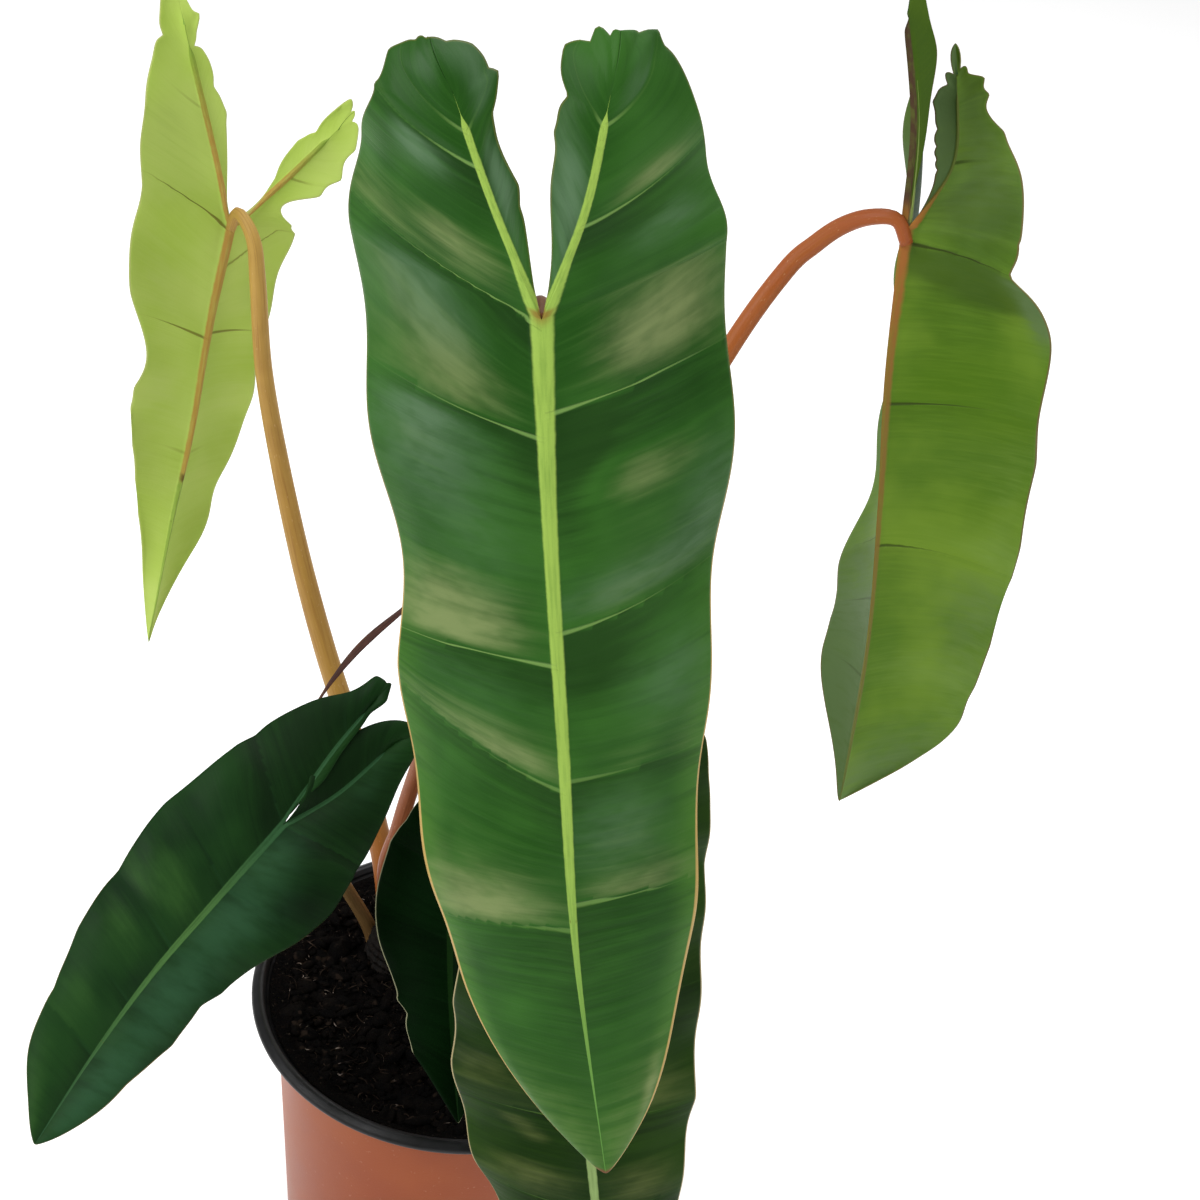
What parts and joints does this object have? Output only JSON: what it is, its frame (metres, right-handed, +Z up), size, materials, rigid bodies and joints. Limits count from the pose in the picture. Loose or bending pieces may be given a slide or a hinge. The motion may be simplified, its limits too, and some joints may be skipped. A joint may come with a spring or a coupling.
{
  "type": "potted philodendron",
  "caption": "Philodendron billietiae house plant: long arrow-shaped leaves on orange stalks, in a round two-tone nursery pot filled with soil.",
  "frame": {"origin": "centre of the pot's underside", "axes": "+Z up, out of the pot; the largest leaf's glossy side faces -Y; +X to the right as seen from there"},
  "size_m": [0.3614, 0.3226, 0.5675],
  "materials": {
    "pot": "satin terracotta plastic outside, black inside and on the rim",
    "soil": "dark moist peat and bark",
    "stem_crown": "fibrous old stem",
    "front_leaf_stalk": "satin orange-brown stalk",
    "front_leaf_blade": "glossy mid green leaf",
    "left_leaf_stalk": "satin golden stalk",
    "left_leaf_blade": "young lime leaf",
    "right_leaf_stalk": "satin orange stalk",
    "right_leaf_blade": "satin olive green leaf",
    "low_left_leaf_stalk": "tan stalk",
    "low_left_leaf_blade": "dark green leaf",
    "small_inner_leaf_stalk": "tan stalk",
    "small_inner_leaf_blade": "dark green leaf",
    "low_front_leaf_stalk": "tan stalk",
    "low_front_leaf_blade": "dark green leaf",
    "dry_sheath": "dry papery sheath"
  },
  "bodies": {
    "root": {"pot": "pot", "soil": "soil", "stem_crown": "stem_crown", "front_leaf_stalk": "front_leaf_stalk", "front_leaf_blade": "front_leaf_blade", "left_leaf_stalk": "left_leaf_stalk", "left_leaf_blade": "left_leaf_blade", "right_leaf_stalk": "right_leaf_stalk", "right_leaf_blade": "right_leaf_blade", "low_left_leaf_stalk": "low_left_leaf_stalk", "low_left_leaf_blade": "low_left_leaf_blade", "small_inner_leaf_stalk": "small_inner_leaf_stalk", "small_inner_leaf_blade": "small_inner_leaf_blade", "low_front_leaf_stalk": "low_front_leaf_stalk", "low_front_leaf_blade": "low_front_leaf_blade", "dry_sheath": "dry_sheath"}
  },
  "joints": []
}
